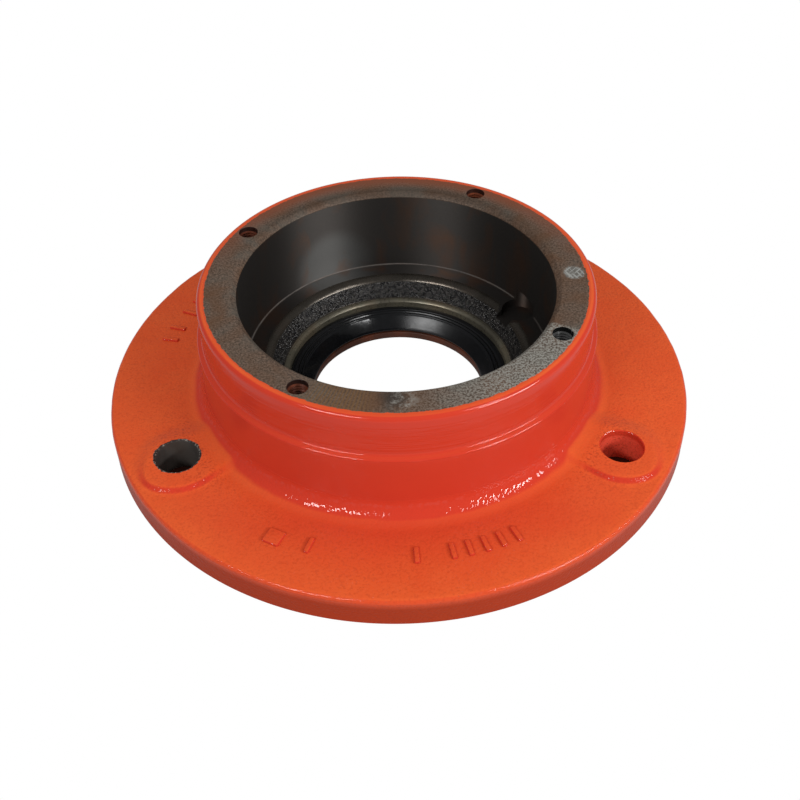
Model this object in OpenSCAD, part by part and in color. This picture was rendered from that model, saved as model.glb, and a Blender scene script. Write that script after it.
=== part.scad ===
// Cast bearing housing with a round bolting flange, a pressed-in lip seal and the seal's spring ring.
// The bore axis is Z, the flange's underside lies at z = 0 and the rim faces up.

/* [Flange] */
// How far the flange reaches past the neck
flange_reach = 40.8; // [38:0.2:55]
// Thickness of the flange beside the bolt pads
flange_t = 13.5; // [12:0.5:16]
// Radius of the rounded upper edge of the flange
flange_edge_r = 2.5; // [1:0.5:4]
// Chamfer round the underside of the flange
flange_foot_chamfer = 0.8; // [0.4:0.2:2]

/* [Bolt pads] */
// Number of mounting bolts
bolt_count = 3; // [3:1:6]
// Distance from the flange's edge to the bolt circle
bolt_edge_distance = 21; // [19:0.5:23]
// Diameter of a mounting bolt's hole
bolt_hole_d = 17.5; // [13.5:0.5:19]
// Chamfer at the upper mouth of a mounting bolt's hole
bolt_hole_chamfer = 0.8; // [0.4:0.2:1.2]
// Diameter of a pad's round end, over its sloping side
pad_d = 36; // [33:0.5:38]
// Height of a pad above the flange
pad_h = 1.8; // [1:0.2:3]
// Width of the slope round a pad
pad_slope_w = 3.5; // [1.5:0.25:5]

/* [Hub] */
// Height of the housing
hub_h = 62; // [56:1:80]
// Wall between the bearing seat and the turned band of the hub
hub_wall = 16; // [13:0.5:20]
// Radius of the rounded outer edge of the rim
rim_edge_r = 2.5; // [1:0.5:4]
// Height of the turned band, from the rim down to the step
band_h = 16.8; // [12:0.2:20]
// How far the cast neck stands out past the turned band
neck_step = 2.2; // [1.2:0.2:4]
// Height over which the step blends into the neck
step_h = 4.4; // [4:0.2:6]
// Radius of the fillet between the neck and the flange
neck_fillet_r = 8.5; // [5:0.5:10]

/* [Rim] */
// Number of threaded holes for the bearing cover
thread_count = 4; // [4:1:8]
// Nominal diameter of a cover thread
thread_d = 8; // [6:1:10]
// Depth of a threaded hole
thread_depth = 20; // [14:1:24]
// Turn of the first threaded hole from +X
thread_turn = 60; // [0:5:85]

/* [Bore] */
// Diameter of the bearing seat
bearing_d = 130; // [120:1:136]
// Chamfer at the mouth of the bearing seat
seat_chamfer = 2; // [1:0.5:3]
// Width of the shoulder that the bearing rests on
shoulder_w = 10; // [8:0.5:11]
// Radius of the rounded inner edge of the shoulder
shoulder_edge_r = 1.5; // [0.5:0.25:2]
// Height of the cast throat between the seal bore and the shoulder
throat_h = 8.5; // [7:0.5:14]
// Ledge left between the foot of the throat and the seal bore
throat_ledge = 2.5; // [1.6:0.1:3.5]

/* [Grease pocket] */
// Width of the slot that crosses the shoulder
slot_w = 8.6; // [6:0.2:11]
// Diameter of the round pocket at the slot's outer end
pocket_d = 15; // [12:0.5:17]
// How far the pocket reaches past the bearing seat
pocket_reach = 4; // [2:0.5:5]
// Depth of slot and pocket below the shoulder
pocket_depth = 4; // [2:0.5:6]
// Height of the pocket above the shoulder
pocket_rise = 6; // [3:0.5:10]
// Turn of the pocket from +X
pocket_turn = 27; // [15:1:45]

/* [Seal] */
// Diameter of the shaft that the seal runs on
shaft_d = 75; // [70:1:80]
// Width of the seal between the shaft and its bore
seal_w = 10; // [9:0.5:12]
// Height of the seal
seal_h = 8; // [7.5:0.25:10]
// Depth of the seal's top below the mouth of its bore
seal_recess = 3.2; // [1.5:0.1:5]
// Chamfer that leads the seal into its bore
seal_lead = 1; // [0.5:0.25:1.4]
// Thickness of the ledge under the seal
floor_t = 3.3; // [2.5:0.1:5]
// Gap between the shaft and the hole in that ledge
shaft_clearance = 1; // [0.5:0.1:2]
// How much smaller than the shaft the free lip is, on the radius
lip_squeeze = 0.7; // [0.4:0.1:1.2]
// Thickness of the seal's outer sleeve
sleeve_t = 3; // [2:0.25:3.5]
// Radius of the rounded edges of the sleeve
sleeve_edge_r = 0.6; // [0.3:0.1:1]
// Thickness of the seal's web
web_t = 2.2; // [1.8:0.2:3]
// Radius of a ridge on the seal's face
ridge_r = 0.4; // [0.2:0.05:0.6]
// Width of the lip's inner cone, along the radius
lip_cone_w = 4; // [3:0.25:4.5]
// Thickness of the lip where it leaves the web
lip_t = 2; // [1.5:0.1:2.5]
// Height of the lip's edge above the foot of the seal
lip_edge_rise = 1.9; // [1.5:0.1:2.5]
// Width of the lip's head, along the radius
lip_head_w = 2.6; // [2.2:0.1:3]
// Drop from the lip's edge to the underside of its head
lip_head_drop = 1; // [0.6:0.1:1.3]
// Diameter of the spring ring's coil
spring_d = 2.2; // [1.6:0.1:2.4]
// Gap round the coil in its groove
spring_clearance = 0.1; // [0.05:0.05:0.2]

/* [Hidden] */
$fn = 96;
// Length by which cuts and joints run past a face
over = 1;
seat_r = bearing_d / 2;
hub_r = seat_r + hub_wall;
neck_r = hub_r + neck_step;
flange_r = neck_r + flange_reach;
bolt_circle_r = flange_r - bolt_edge_distance;
thread_circle_r = (seat_r + hub_r) / 2;
shaft_r = shaft_d / 2;
seal_r = shaft_r + seal_w;
floor_hole_r = shaft_r + shaft_clearance;
seal_top_z = floor_t + seal_h;
lip_r = shaft_r - lip_squeeze;
lip_edge_z = floor_t + lip_edge_rise;
lip_foot_z = lip_edge_z - lip_head_drop;
cone_top_r = lip_r + lip_cone_w;
spring_ring_r = lip_r + lip_head_w + spring_d / 4;
spring_z = lip_edge_z + spring_d / 4;
seal_bore_top_z = seal_top_z + seal_recess;
shoulder_z = seal_bore_top_z + throat_h;
throat_r = seat_r - shoulder_w;
throat_foot_r = seal_r + throat_ledge;
step_foot_z = hub_h - band_h - step_h;
casting_paint = "#d5462a";
rubber_black = "#1b1c1e";
spring_steel = "#8d9094";

// Corner to cut off so that an outer corner at [x, y] becomes round
module round_off(x, y, r) {
    difference() {
        translate([x - r, y - r])
            square(r + over);
        translate([x - r, y - r])
            circle(r);
    }
}

// Web to add so that an inner corner at [x, y] gets a fillet
module fill_in(x, y, r) {
    difference() {
        translate([x - over, y - over])
            square(r + over);
        translate([x + r, y + r])
            circle(r);
    }
}

// Slope of width w from a level top at height rise down to the base line, made of two equal tangent arcs:
// it is rounded at its top and hollow at its foot
module blend_slope(rise, w) {
    r = (w * w + rise * rise) / (4 * rise);
    intersection() {
        translate([0, rise - r])
            circle(r);
        square([w / 2, rise + r]);
    }
    difference() {
        translate([w / 2, 0])
            square([w / 2, rise / 2]);
        translate([w, r])
            circle(r);
    }
}

// Half section of a bolt pad, from its middle out to the foot of its slope, with a root inside the flange
module pad_section() {
    foot_r = pad_d / 2;
    polygon([[0, -over], [foot_r, -over], [foot_r, 0], [foot_r - pad_slope_w, pad_h], [0, pad_h]]);
}

// Raised tongue that runs out from the hub and ends round the bolt hole
module bolt_pad() {
    tongue_l = bolt_circle_r - hub_r;
    translate([bolt_circle_r, 0, flange_t]) {
        rotate_extrude()
            pad_section();
        rotate([90, 0, -90])
            linear_extrude(tongue_l) {
                pad_section();
                mirror([1, 0])
                    pad_section();
            }
    }
}

module bolt_hole() {
    mouth_z = flange_t + pad_h;
    mouth_r = bolt_hole_d / 2 + bolt_hole_chamfer;
    translate([bolt_circle_r, 0, -over])
        cylinder(d = bolt_hole_d, h = mouth_z + 2 * over);
    translate([bolt_circle_r, 0, mouth_z - bolt_hole_chamfer])
        cylinder(r1 = bolt_hole_d / 2, r2 = mouth_r + over, h = bolt_hole_chamfer + over);
}

// Outer half section of the casting
module casting_section() {
    difference() {
        union() {
            square([flange_r, flange_t]);
            square([hub_r, hub_h]);
            square([neck_r, step_foot_z]);
            fill_in(neck_r, flange_t, neck_fillet_r);
            translate([hub_r, step_foot_z])
                rotate(90)
                    mirror([0, 1])
                        blend_slope(neck_step, step_h);
        }
        round_off(flange_r, flange_t, flange_edge_r);
        round_off(hub_r, hub_h, rim_edge_r);
        translate([flange_r, 0])
            rotate(45)
                square(flange_foot_chamfer * sqrt(2), center = true);
    }
}

// Corner to cut off so that the shoulder's inner edge runs round into the leaning wall of the throat
module shoulder_edge() {
    lean = atan2(throat_r - throat_foot_r, throat_h);
    inset = shoulder_edge_r * (1 - sin(lean)) / cos(lean);
    centre = [throat_r + inset, shoulder_z - shoulder_edge_r];
    wall_point = centre + shoulder_edge_r * [-cos(lean), sin(lean)];
    difference() {
        polygon([[throat_r, shoulder_z], [centre.x, shoulder_z], centre, wall_point]);
        translate(centre)
            circle(shoulder_edge_r);
    }
}

// Half section of the space inside the casting
module bore_section() {
    translate([0, shoulder_z])
        square([seat_r, hub_h - shoulder_z + over]);
    polygon([
        [0, hub_h - seat_chamfer],
        [seat_r, hub_h - seat_chamfer],
        [seat_r + seat_chamfer + over, hub_h + over],
        [0, hub_h + over]
    ]);
    polygon([
        [0, seal_bore_top_z],
        [throat_foot_r, seal_bore_top_z],
        [throat_r, shoulder_z],
        [throat_r, shoulder_z + over],
        [0, shoulder_z + over]
    ]);
    translate([0, floor_t])
        square([seal_r, seal_bore_top_z - floor_t + over]);
    polygon([
        [0, seal_bore_top_z - seal_lead],
        [seal_r, seal_bore_top_z - seal_lead],
        [seal_r + seal_lead, seal_bore_top_z],
        [0, seal_bore_top_z]
    ]);
    translate([0, -over])
        square([floor_hole_r, floor_t + 2 * over]);
    shoulder_edge();
}

// Pocket and slot that let grease past the bearing to the seal
module grease_pocket() {
    centre_r = seat_r + pocket_reach - pocket_d / 2;
    slot_l = centre_r - throat_foot_r;
    rotate(pocket_turn) {
        translate([centre_r, 0, shoulder_z - pocket_depth])
            cylinder(d = pocket_d, h = pocket_depth + pocket_rise);
        translate([centre_r - slot_l, -slot_w / 2, shoulder_z - pocket_depth])
            cube([slot_l, slot_w, pocket_depth + over]);
    }
}

module housing() {
    color(casting_paint)
        difference() {
            union() {
                rotate_extrude()
                    casting_section();
                for (i = [0 : bolt_count - 1])
                    rotate(90 + i * 360 / bolt_count)
                        bolt_pad();
            }
            rotate_extrude()
                bore_section();
            for (i = [0 : bolt_count - 1])
                rotate(90 + i * 360 / bolt_count)
                    bolt_hole();
            for (i = [0 : thread_count - 1])
                rotate(thread_turn + i * 360 / thread_count)
                    translate([thread_circle_r, 0, hub_h - thread_depth])
                        cylinder(d = thread_d, h = thread_depth + over);
            grease_pocket();
        }
}

// Half section of the seal: sleeve, web with two ridges, and the lip with its head and spring groove
module seal_section() {
    web_z = seal_top_z - web_t;
    difference() {
        union() {
            translate([seal_r - sleeve_t, floor_t])
                square([sleeve_t, seal_h]);
            polygon([
                [lip_r, lip_edge_z],
                [lip_r + lip_head_drop, lip_foot_z],
                [lip_r + lip_head_w, lip_foot_z],
                [cone_top_r + lip_t, web_z],
                [seal_r - sleeve_t / 2, web_z],
                [seal_r - sleeve_t / 2, seal_top_z],
                [cone_top_r, seal_top_z]
            ]);
            for (i = [1 : 2])
                translate([cone_top_r + 3 * i * ridge_r, seal_top_z])
                    circle(ridge_r);
        }
        round_off(seal_r, seal_top_z, sleeve_edge_r);
        translate([0, floor_t])
            mirror([0, 1])
                round_off(seal_r, 0, sleeve_edge_r);
        translate([spring_ring_r, spring_z])
            circle(spring_d / 2 + spring_clearance);
    }
}

module oil_seal() {
    color(rubber_black)
        rotate_extrude()
            seal_section();
}

module garter_spring() {
    color(spring_steel)
        rotate_extrude()
            translate([spring_ring_r, spring_z])
                circle(d = spring_d);
}

housing();
oil_seal();
garter_spring();
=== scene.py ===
"""Finished look of a cast bearing housing.

Orange enamel covers the sand-cast iron. The turned rim and the bore are bare iron, and a lip seal with its
spring sits at the bottom of the bore. Sizes and places are in millimetres until a piece is finished, and
turns are in degrees from +X.
"""

import math

import bmesh
import bpy
from mathutils import Matrix, Vector, noise


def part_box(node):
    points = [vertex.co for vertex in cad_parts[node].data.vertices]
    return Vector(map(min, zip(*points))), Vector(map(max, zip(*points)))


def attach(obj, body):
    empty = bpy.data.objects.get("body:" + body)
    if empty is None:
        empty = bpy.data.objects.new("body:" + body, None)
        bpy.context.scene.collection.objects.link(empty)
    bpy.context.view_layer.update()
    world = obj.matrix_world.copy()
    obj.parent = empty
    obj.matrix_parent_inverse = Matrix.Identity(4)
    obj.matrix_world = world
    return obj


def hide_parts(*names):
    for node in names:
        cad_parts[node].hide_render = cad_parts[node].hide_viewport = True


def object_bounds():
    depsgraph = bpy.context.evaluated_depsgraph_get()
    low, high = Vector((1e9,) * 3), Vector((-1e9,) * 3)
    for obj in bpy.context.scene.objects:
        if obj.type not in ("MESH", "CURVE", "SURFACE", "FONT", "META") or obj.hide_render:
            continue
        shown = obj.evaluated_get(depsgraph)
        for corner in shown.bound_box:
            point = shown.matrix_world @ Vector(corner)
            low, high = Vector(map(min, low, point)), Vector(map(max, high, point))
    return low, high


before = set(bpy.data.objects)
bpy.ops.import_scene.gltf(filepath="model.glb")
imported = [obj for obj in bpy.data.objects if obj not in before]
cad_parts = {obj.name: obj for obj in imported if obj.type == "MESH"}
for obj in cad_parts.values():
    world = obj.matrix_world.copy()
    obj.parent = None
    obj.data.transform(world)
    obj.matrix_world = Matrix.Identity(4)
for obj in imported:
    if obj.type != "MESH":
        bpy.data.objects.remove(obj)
cad_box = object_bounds()

MM = 0.001

# Outer size of the housing and place of the seal, from the frame.
seal_low, seal_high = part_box("oil_seal")
FLANGE_R = round(cad_box[1][0] / MM, 2)
HUB_H = round(cad_box[1][2] / MM, 2)
SEAL_R = round(seal_high.x / MM, 2)
FLOOR_T = round(seal_low.z / MM, 2)

# Casting: flange, neck, turned band, bearing seat, shoulder, throat and the ledge above the seal.
FLANGE_T = 13.5
FOOT_EDGE = 0.8
NECK_R = 83.2
NECK_FILLET = 8.5
NECK_TOP = 42.4
BAND_R = 81
BAND_FOOT = 43.6
RIM_ROUND = 2.5
SEAT_R = 65
SEAT_LEAD = 2
SEAT_ROUND = 0.5
SHOULDER_R = 55
SHOULDER_Z = 23
SHOULDER_ROUND = 2.3
THROAT_R = 50
LEDGE_Z = 14.5
SEAL_LEAD = 1
FLOOR_HOLE_R = 37.7
RING_STEPS = 640

# Waves that the sand mould leaves on cast faces, as width and depth, and how far a face is sunk for them.
CAST_WAVES = ((13, 0.14), (4.5, 0.07))
CAST_SUNK = 0.15

# Bolt holes and their pads. The sides of a pad ease off behind it, and towards the hub within a reach.
BOLT_CIRCLE_R = 103
BOLT_HOLE_R = 8.75
BOLT_CHAMFER = 0.3
BOLT_TURNS = (90, 210, 330)
BARE_HOLE_TURN = 210
PAD_R = 19.3
PAD_H = 1.8
PAD_SLOPE_W = 2.7
PAD_BACK_EASE = 2.8
PAD_HUB_EASE = 1.6
PAD_HUB_REACH = 16
PAD_BLEND = 3.5

# Tapped holes in the rim.
THREAD_CIRCLE_R = 73
THREAD_R = 4
THREAD_CHAMFER = 0.1
THREAD_PITCH = 1.25
THREAD_DEPTH = 20
THREAD_WINDINGS = 14
THREAD_TURNS = (60, 150, 240, 330)
OILY_THREAD_TURN = 330

# Grease pocket in the shoulder, and the slot that leads into it.
POCKET_TURN = 27
POCKET_CIRCLE_R = 61.5
POCKET_R = 7.5
POCKET_DEPTH = 4
POCKET_RISE = 6
SLOT_CIRCLE_R = 56
SLOT_L = 12
SLOT_W = 8.6

# Plain raised marks on the flange: one square, a row of bars in front and one at the left.
BAR_L = 7.5
BAR_W = 2.2
SQUARE_W = 7
SQUARE_CIRCLE_R = 104.5
SQUARE_TURN = -117.1
FRONT_CIRCLE_R = 103.2
FRONT_TURNS = (-109.4, -87, -79.5, -76, -72.5, -69, -65.5)
LEFT_CIRCLE_R = 105.5
LEFT_TURNS = (167, 162.5, 156, 151.5)

# The tool that faced the rim ran a little off the axis, so the paint is left wider at the back.
FACED_AT = Vector((0, -0.3, 0))
FACED_R = 77.7

# Marks of use in the seat and on the rim; in the seat the mark is a patch of painted sheen. A stretch of the
# rim has four turns: where it begins, is full from, ends and is full to.
SHEEN_TURN = 117
SHEEN_Z = 27
SMEAR_AT = Vector((-2, -70, 0))
# Place of a painted glint on the oil.
GLINT_AT = Vector((1.5, -71.5, 0))
SCRATCHED_AT = Vector((72.6, 2.2, 0))
SILVERY_TURNS = (-88, -58, -25.5, -27)
CHATTERED_TURNS = (-119, -113, -96, -101)
CHATTER_PER_RADIAN = 340

# Corners of the casting's half section, each with its radius, height, the length that its rounding takes off
# both sides and the segments of that rounding.
CASTING_OUTLINE = (
    (FLOOR_HOLE_R, 0, 0.4, 2),
    (FLANGE_R, 0, FOOT_EDGE, 1),
    (FLANGE_R, FLANGE_T, 2, 8),
    (NECK_R, FLANGE_T, NECK_FILLET, 14),
    (NECK_R, NECK_TOP, 0.7, 5),
    (BAND_R, BAND_FOOT, 0.7, 5),
    (BAND_R, HUB_H, RIM_ROUND, 8),
    (SEAT_R + SEAT_LEAD, HUB_H, 0.25, 2),
    (SEAT_R, HUB_H - SEAT_LEAD, 0.25, 2),
    (SEAT_R, SHOULDER_Z, SEAT_ROUND, 3),
    (SHOULDER_R, SHOULDER_Z, SHOULDER_ROUND, 9),
    (THROAT_R, LEDGE_Z, 0.3, 2),
    (SEAL_R + SEAL_LEAD, LEDGE_Z, 0.2, 2),
    (SEAL_R, LEDGE_Z - SEAL_LEAD, 0.2, 2),
    (SEAL_R, FLOOR_T, 0.3, 2),
    (FLOOR_HOLE_R, FLOOR_T, 0.5, 3),
)

# The seal, in the same way: a sleeve, a face with two ridges, a cone that runs down to the lip, and the
# groove for the spring behind it.
SEAL_OUTLINE = (
    (SEAL_R, FLOOR_T, 0.6, 4),
    (SEAL_R, 11.3, 0.6, 4),
    (45.1, 11.3, 0.15, 2),
    (44.8, 10.9, 0.15, 2),
    (44.3, 10.9, 0.15, 2),
    (43.9, 11.5, 0.2, 3),
    (43.4, 11.5, 0.2, 3),
    (43.0, 10.9, 0.15, 2),
    (42.6, 10.9, 0.15, 2),
    (42.2, 11.5, 0.2, 3),
    (41.7, 11.5, 0.2, 3),
    (41.3, 11.0, 0.15, 2),
    (41.05, 10.95, 0.3, 4),
    (38.9, 8.3, 1.2, 6),
    (36.8, 5.5, 0.25, 3),
    (37.8, 4.2, 0.2, 2),
    (39.2, 4.2, 0.2, 2),
    (39.5, 4.7, 0.1, 1),
    (38.9, 5.6, 0.2, 2),
    (39.7, 6.9, 0.3, 2),
    (40.9, 6.9, 0.3, 2),
    (42.6, 9.1, 0.4, 3),
    (44.5, 9.1, 0.4, 3),
    (44.5, FLOOR_T, 0.3, 2),
)


def at_turn(radius, degrees, z=0):
    """Point at a radius and a turn round Z."""
    turn = math.radians(degrees)
    return Vector((radius * math.cos(turn), radius * math.sin(turn), z))


def smooth(t):
    """Soft step from 0 to 1."""
    t = min(max(t, 0), 1)
    return t * t * (3 - 2 * t)


def turned_ring(outline, steps, pitch):
    """Closed ring that an outline sweeps round Z, with no edge of the outline longer than pitch allows there.

    An eighth is spun, and its copies make up the ring.
    """
    bm = bmesh.new()
    corners = [bm.verts.new((r, 0, z)) for r, z, _, _ in outline]
    for a, b in zip(corners, corners[1:] + corners[:1]):
        bm.edges.new((a, b))
    for corner, (_, _, length, segments) in zip(corners, outline):
        bmesh.ops.bevel(
            bm,
            geom=[corner],
            offset=length,
            offset_type="OFFSET",
            segments=segments,
            profile=0.5,
            affect="VERTICES",
            material=-1,
        )
    for edge in bm.edges[:]:
        middle = (edge.verts[0].co + edge.verts[1].co) / 2
        cuts = math.ceil(edge.calc_length() / pitch(middle.x, middle.z)) - 1
        if cuts > 0:
            bmesh.ops.subdivide_edges(bm, edges=[edge], cuts=cuts)
    eighth = math.tau / 8
    bmesh.ops.spin(
        bm,
        geom=bm.verts[:] + bm.edges[:],
        axis=(0, 0, 1),
        cent=(0, 0, 0),
        angle=eighth,
        steps=steps // 8,
    )
    for turn in (eighth, 2 * eighth, 4 * eighth):
        copies = bmesh.ops.duplicate(bm, geom=bm.verts[:] + bm.edges[:] + bm.faces[:])["geom"]
        turned = [part for part in copies if isinstance(part, bmesh.types.BMVert)]
        bmesh.ops.rotate(bm, matrix=Matrix.Rotation(turn, 3, "Z"), verts=turned)
    bmesh.ops.remove_doubles(bm, verts=bm.verts, dist=0.001)
    bmesh.ops.recalc_face_normals(bm, faces=bm.faces)
    return bm


def mesh_object(name, bm):
    """Object that holds a bmesh's shape."""
    mesh = bpy.data.meshes.new(name)
    bm.to_mesh(mesh)
    bm.free()
    piece = bpy.data.objects.new(name, mesh)
    bpy.context.scene.collection.objects.link(piece)
    return piece


def cut_away(bm, tools):
    """What is left of a shape once every tool has been cut out of it."""
    work = mesh_object("work", bm)
    cutters = [mesh_object("cutter", tool) for tool in tools]
    for cutter in cutters:
        cut = work.modifiers.new("cut", "BOOLEAN")
        cut.operation = "DIFFERENCE"
        cut.solver = "MANIFOLD"
        cut.object = cutter
    left = bmesh.new()
    left.from_object(work, bpy.context.evaluated_depsgraph_get())
    for used in [work] + cutters:
        bpy.data.meshes.remove(used.data)
    return left


def make_piece(name, bm, materials, slot, *nodes):
    """Turns a shape in millimetres into a piece in metres, with its materials, and hides the nodes it
    replaces. Its slot is not used.
    """
    sharp_angle = 38
    bmesh.ops.scale(bm, vec=(MM, MM, MM), verts=bm.verts)
    piece = mesh_object(name, bm)
    for material in materials:
        piece.data.materials.append(material)
    piece.data.shade_smooth()
    piece.data.set_sharp_from_angle(angle=math.radians(sharp_angle))
    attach(piece, "root")
    if nodes:
        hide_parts(*nodes)
    return piece


def linear(colour):
    """Linear RGBA of an sRGB hex colour."""
    channels = [int(colour[i : i + 2], 16) / 255 for i in (1, 3, 5)]
    return [c / 12.92 if c <= 0.04045 else ((c + 0.055) / 1.055) ** 2.4 for c in channels] + [1]


def add(tree, kind, sockets=None, **settings):
    """Adds a node. Settings are its properties. Sockets are its inputs: values or other nodes' outputs."""
    node = tree.nodes.new("ShaderNode" + kind)
    for name, value in settings.items():
        setattr(node, name, value)
    for key, value in (sockets or {}).items():
        if isinstance(value, bpy.types.NodeSocket):
            tree.links.new(value, node.inputs[key])
        else:
            node.inputs[key].default_value = value
    return node


def new_material(name):
    """Empty material and its node tree."""
    material = bpy.data.materials.new(name)
    material.use_nodes = True
    material.node_tree.nodes.clear()
    return material, material.node_tree


def per_mm(size):
    """Scale of a pattern whose lumps are this many millimetres wide."""
    return 1 / (size * MM)


def enamel():
    """Sprayed alkyd enamel over sand-cast iron.

    The eye sees a glossy orange. Upright faces, and the flange just in front of the neck, are painted redder
    as shade and as light bounced off the red neck, and the walls of the bolt holes are painted brighter as
    light bounced between them. The sand's grain breaks the gloss into glints, most of all round the bolt
    pads, and feed lines do so on the turned band. The lower side of the flange is painted darker, as shade,
    and its gloss is duller. The paint ends in a ragged line at the rim and round the hole that was drilled
    after painting. Grains and feed lines are drawn coarser than real ones, so that they show.
    """
    material, tree = new_material("orange_enamel_on_cast_iron")
    coords = add(tree, "TexCoord")
    place = coords.outputs["Object"]
    xyz = add(tree, "SeparateXYZ", {0: place})
    facing = add(tree, "SeparateXYZ", {0: coords.outputs["Normal"]})
    flat = add(tree, "VectorMath", {0: place, 1: (1, 1, 0)}, operation="MULTIPLY").outputs[0]
    radius = add(tree, "VectorMath", {0: flat}, operation="LENGTH").outputs["Value"]

    # Patterns: loose sand, single grains, slow swells and the feed lines of the turned band.
    sand = add(
        tree, "TexNoise", {"Vector": place, "Scale": per_mm(1), "Detail": 2, "Roughness": 0.6}
    ).outputs[0]
    from_grain = add(tree, "TexVoronoi", {"Vector": place, "Scale": per_mm(1.1)}).outputs["Distance"]
    lumps = add(tree, "Math", {0: from_grain, 1: 2}, operation="POWER").outputs[0]
    swell = add(tree, "TexNoise", {"Vector": place, "Scale": per_mm(16), "Detail": 3}).outputs[0]
    long_way = add(tree, "VectorMath", {0: place, 1: (0.03, 0.03, 1)}, operation="MULTIPLY").outputs[0]
    feed = add(tree, "TexNoise", {"Vector": long_way, "Scale": per_mm(0.8), "Detail": 2}).outputs[0]

    # Relief: the sand lies open on the flange, deepest by the pads, and single grains up to the fillet.
    turned = add(
        tree,
        "MapRange",
        {"Value": xyz.outputs["Z"], "From Min": 45 * MM, "From Max": 46.5 * MM},
        interpolation_type="SMOOTHSTEP",
    ).outputs[0]
    open_sand = add(
        tree,
        "MapRange",
        {"Value": radius, "From Min": 90 * MM, "From Max": 94 * MM, "To Min": 0.1, "To Max": 1},
        interpolation_type="SMOOTHSTEP",
    ).outputs[0]
    lump_depth = add(
        tree,
        "MapRange",
        {
            "Value": xyz.outputs["Z"],
            "From Min": 18 * MM,
            "From Max": 22 * MM,
            "To Min": -0.1 * MM,
            "To Max": -0.01 * MM,
        },
    ).outputs[0]
    patchy = add(
        tree, "MapRange", {"Value": swell, "From Min": 0.35, "From Max": 0.65, "To Min": 0.5, "To Max": 0.9}
    ).outputs[0]
    coarse = patchy
    coarse_circle_r = 89
    for turn in BOLT_TURNS:
        by_pad = at_turn(coarse_circle_r, turn) * MM
        away = add(tree, "VectorMath", {0: flat, 1: by_pad}, operation="DISTANCE").outputs["Value"]
        coarse = add(
            tree,
            "MapRange",
            {"Value": away, "From Min": 30 * MM, "From Max": 8 * MM, "To Min": coarse, "To Max": 1.7},
            interpolation_type="SMOOTHSTEP",
        ).outputs[0]
    sand_depth = add(tree, "Math", {0: open_sand, 1: coarse}, operation="MULTIPLY").outputs[0]
    sand_height = add(tree, "Math", {0: sand, 1: sand_depth}, operation="MULTIPLY").outputs[0]
    lump_mm = add(tree, "Math", {0: lumps, 1: lump_depth}, operation="MULTIPLY").outputs[0]
    sand_mm = add(
        tree, "Math", {0: sand_height, 1: 0.12 * MM, 2: lump_mm}, operation="MULTIPLY_ADD"
    ).outputs[0]
    feed_end = add(
        tree,
        "MapRange",
        {
            "Value": xyz.outputs["Z"],
            "From Min": (HUB_H - 5) * MM,
            "From Max": (HUB_H - 2.5) * MM,
            "To Min": 0.11 * MM,
            "To Max": 0,
        },
    ).outputs[0]
    feed_mm = add(tree, "Math", {0: feed, 1: feed_end}, operation="MULTIPLY").outputs[0]
    height = add(tree, "Mix", {"Factor": turned, 2: sand_mm, 3: feed_mm}, data_type="FLOAT").outputs[0]
    bump = add(tree, "Bump", {"Height": height, "Distance": 1, "Strength": 1}).outputs[0]

    # Painted shade: upright faces are painted redder, less so on the flange's side, and the flange in front
    #     # of the neck is painted red, as shade and as light bounced off the red neck.
    upright = add(
        tree,
        "MapRange",
        {"Value": facing.outputs["Z"], "From Min": 0.985, "From Max": 0.81},
        interpolation_type="SMOOTHSTEP",
    ).outputs[0]
    side = add(
        tree,
        "MapRange",
        {"Value": radius, "From Min": (FLANGE_R - 4) * MM, "From Max": (FLANGE_R - 2) * MM},
        interpolation_type="SMOOTHSTEP",
    ).outputs[0]
    side_less_shade = add(tree, "MapRange", {"Value": side, "To Min": 1, "To Max": 0.45}).outputs[0]
    # thick holds the painted shade of upright faces, not a thicker coat.
    thick = add(tree, "Math", {0: upright, 1: side_less_shade}, operation="MULTIPLY").outputs[0]
    in_front = add(
        tree,
        "MapRange",
        {"Value": xyz.outputs["Y"], "From Min": -55 * MM, "From Max": -88 * MM, "To Max": 0.7},
    ).outputs[0]
    neck_bounce = add(
        tree,
        "MapRange",
        {"Value": radius, "From Min": 93 * MM, "From Max": 121 * MM, "To Min": in_front, "To Max": 0},
    ).outputs[0]
    red_shade = add(tree, "Math", {0: thick, 1: neck_bounce}, operation="MAXIMUM").outputs[0]

    # Painted light in the bolt holes: their walls are painted a brighter red, as light bounced between them.
    #     # It lies as low as the flange's side, but further in.
    below = add(
        tree,
        "MapRange",
        {"Value": xyz.outputs["Z"], "From Min": (FLANGE_T - 0.5) * MM, "From Max": (FLANGE_T - 1.5) * MM},
    ).outputs[0]
    hole_light = add(tree, "MapRange", {"Value": side, "To Min": below, "To Max": 0}).outputs[0]

    # The paint is thin in the hollows of the sand, and low on the flange's side the colour is painted
    #     # darker, as shade.
    thin = add(
        tree, "MapRange", {"Value": sand, "From Min": 0.5, "From Max": 0.34, "To Min": 0, "To Max": 0.36}
    ).outputs[0]
    thin_cast = add(tree, "Math", {0: thin, 1: sand_depth}, operation="MULTIPLY").outputs[0]
    low = add(
        tree,
        "MapRange",
        {
            "Value": xyz.outputs["Z"],
            "From Min": (FLANGE_T - 1.1) * MM,
            "From Max": (FLANGE_T - 4.5) * MM,
            "To Max": side,
        },
    ).outputs[0]
    foot_shade = add(tree, "Math", {0: low, 1: 0.65}, operation="MULTIPLY").outputs[0]
    clean = add(
        tree,
        "MapRange",
        {"Value": xyz.outputs["Z"], "From Min": 20 * MM, "From Max": 30 * MM, "To Min": 0.3, "To Max": 0.36},
    ).outputs[0]
    shine = add(tree, "MapRange", {"Value": low, "To Min": clean, "To Max": 0.08}).outputs[0]

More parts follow.
